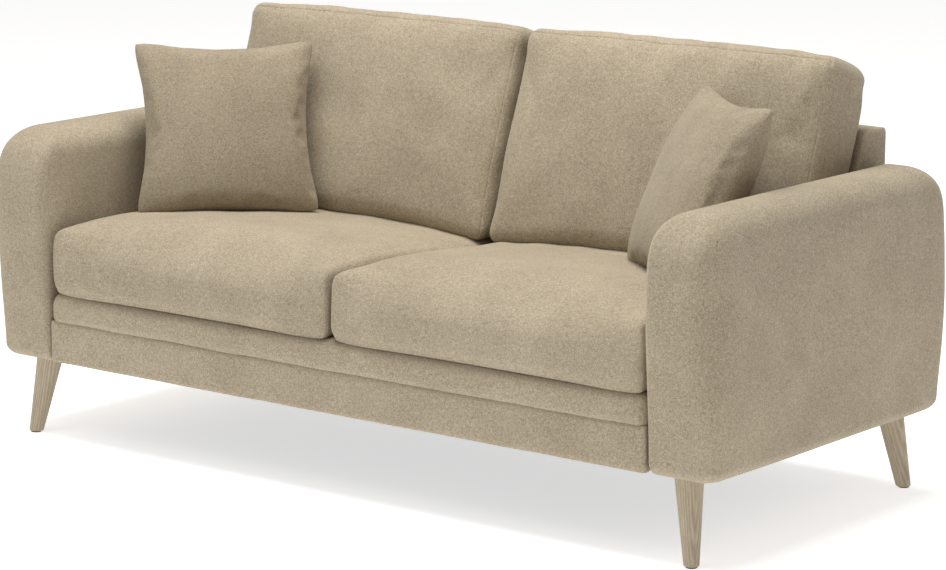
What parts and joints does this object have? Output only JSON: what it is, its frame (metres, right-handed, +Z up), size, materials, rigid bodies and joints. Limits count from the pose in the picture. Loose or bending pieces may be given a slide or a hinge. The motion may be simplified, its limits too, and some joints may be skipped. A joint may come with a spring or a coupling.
{
  "type": "sofa with wooden legs",
  "caption": "Upholstered sofa with rounded arms, loose seat, back and scatter cushions, and splayed tapered wooden legs.",
  "frame": {"origin": "on the floor, in the middle of the plan", "axes": "+X towards the right arm as one faces the sofa, +Y towards its back, +Z up"},
  "size_m": [1.886, 0.855, 0.8843],
  "materials": {
    "upholstery_fabric": "short felted pile, matt, fine mottled beige-taupe",
    "scatter_fabric": "the same felted cloth, matt",
    "leg_oak": "washed oak, satin, fine straight grain",
    "frame_timber": "planed softwood and plywood, unfinished",
    "hardboard": "pressed board, unfinished",
    "foam": "open-cell foam and fibre wadding",
    "deck_felt": "needled felt under plain lining cloth",
    "webbing": "woven elastic webbing",
    "dust_cloth": "thin black spun-bonded lining",
    "steel": "drawn wire and zinc-plated fittings",
    "zip_tape": "woven tape with fine nylon coil",
    "zip_metal": "antique nickel",
    "glide_plastic": "moulded nylon"
  },
  "bodies": {
    "root": {"arm_bolts": "steel", "arm_bottom_rail_left": "frame_timber", "arm_bottom_rail_right": "frame_timber", "arm_cover_left": "upholstery_fabric", "arm_cover_right": "upholstery_fabric", "arm_front_post_left": "frame_timber", "arm_front_post_right": "frame_timber", "arm_padding_left": "foam", "arm_padding_right": "foam", "arm_rear_post_left": "frame_timber", "arm_rear_post_right": "frame_timber", "arm_side_boards_left": "hardboard", "arm_side_boards_right": "hardboard", "arm_top_rail_left": "frame_timber", "arm_top_rail_right": "frame_timber", "back_bolts": "steel", "back_bottom_rail": "frame_timber", "back_cover": "upholstery_fabric", "back_padding": "foam", "back_post_centre": "frame_timber", "back_post_left": "frame_timber", "back_post_right": "frame_timber", "back_top_rail": "frame_timber", "back_webbing": "webbing", "centre_rail": "frame_timber", "corner_blocks": "frame_timber", "deck_pad": "deck_felt", "dust_cover": "dust_cloth", "front_band_cover": "upholstery_fabric", "front_band_padding": "foam", "front_panel": "upholstery_fabric", "front_rail": "frame_timber", "leg_bolts": "steel", "leg_front_left": "leg_oak", "leg_front_right": "leg_oak", "leg_glides": "glide_plastic", "leg_rear_left": "leg_oak", "leg_rear_right": "leg_oak", "rear_rail": "frame_timber", "seat_springs": "steel", "side_rail_left": "frame_timber", "side_rail_right": "frame_timber", "spring_clips": "steel", "tee_nuts": "steel"},
    "seat_cushion_left": {"seat_cover_left": "upholstery_fabric", "seat_core_left": "foam", "seat_zip_left": "zip_tape"},
    "zip_slider_left": {"zip_slider_left": "zip_metal"},
    "back_cushion_left": {"back_cushion_cover_left": "upholstery_fabric", "back_cushion_core_left": "foam"},
    "scatter_cushion_left": {"scatter_cover_left": "scatter_fabric", "scatter_pad_left": "foam"},
    "seat_cushion_right": {"seat_cover_right": "upholstery_fabric", "seat_core_right": "foam", "seat_zip_right": "zip_tape"},
    "zip_slider_right": {"zip_slider_right": "zip_metal"},
    "back_cushion_right": {"back_cushion_cover_right": "upholstery_fabric", "back_cushion_core_right": "foam"},
    "scatter_cushion_right": {"scatter_cover_right": "scatter_fabric", "scatter_pad_right": "foam"}
  },
  "joints": [
    {"name": "seat_lift_left", "type": "slide", "parent": "root", "child": "seat_cushion_left", "axis": [0, 0, 1], "range_m": [0, 0.36]},
    {"name": "back_lift_left", "type": "slide", "parent": "seat_cushion_left", "child": "back_cushion_left", "axis": [0, 0.3256, 0.9455], "range_m": [0, 0.27]},
    {"name": "scatter_lift_left", "type": "slide", "parent": "seat_cushion_left", "child": "scatter_cushion_left", "axis": [0, 0, 1], "range_m": [0, 0.42]},
    {"name": "zip_left", "type": "slide", "parent": "seat_cushion_left", "child": "zip_slider_left", "axis": [1, 0, 0], "range_m": [0, 0.588]},
    {"name": "seat_lift_right", "type": "slide", "parent": "root", "child": "seat_cushion_right", "axis": [0, 0, 1], "range_m": [0, 0.36]},
    {"name": "back_lift_right", "type": "slide", "parent": "seat_cushion_right", "child": "back_cushion_right", "axis": [0, 0.3256, 0.9455], "range_m": [0, 0.27]},
    {"name": "scatter_lift_right", "type": "slide", "parent": "seat_cushion_right", "child": "scatter_cushion_right", "axis": [0, 0, 1], "range_m": [0, 0.42]},
    {"name": "zip_right", "type": "slide", "parent": "seat_cushion_right", "child": "zip_slider_right", "axis": [-1, 0, 0], "range_m": [0, 0.588]}
  ]
}
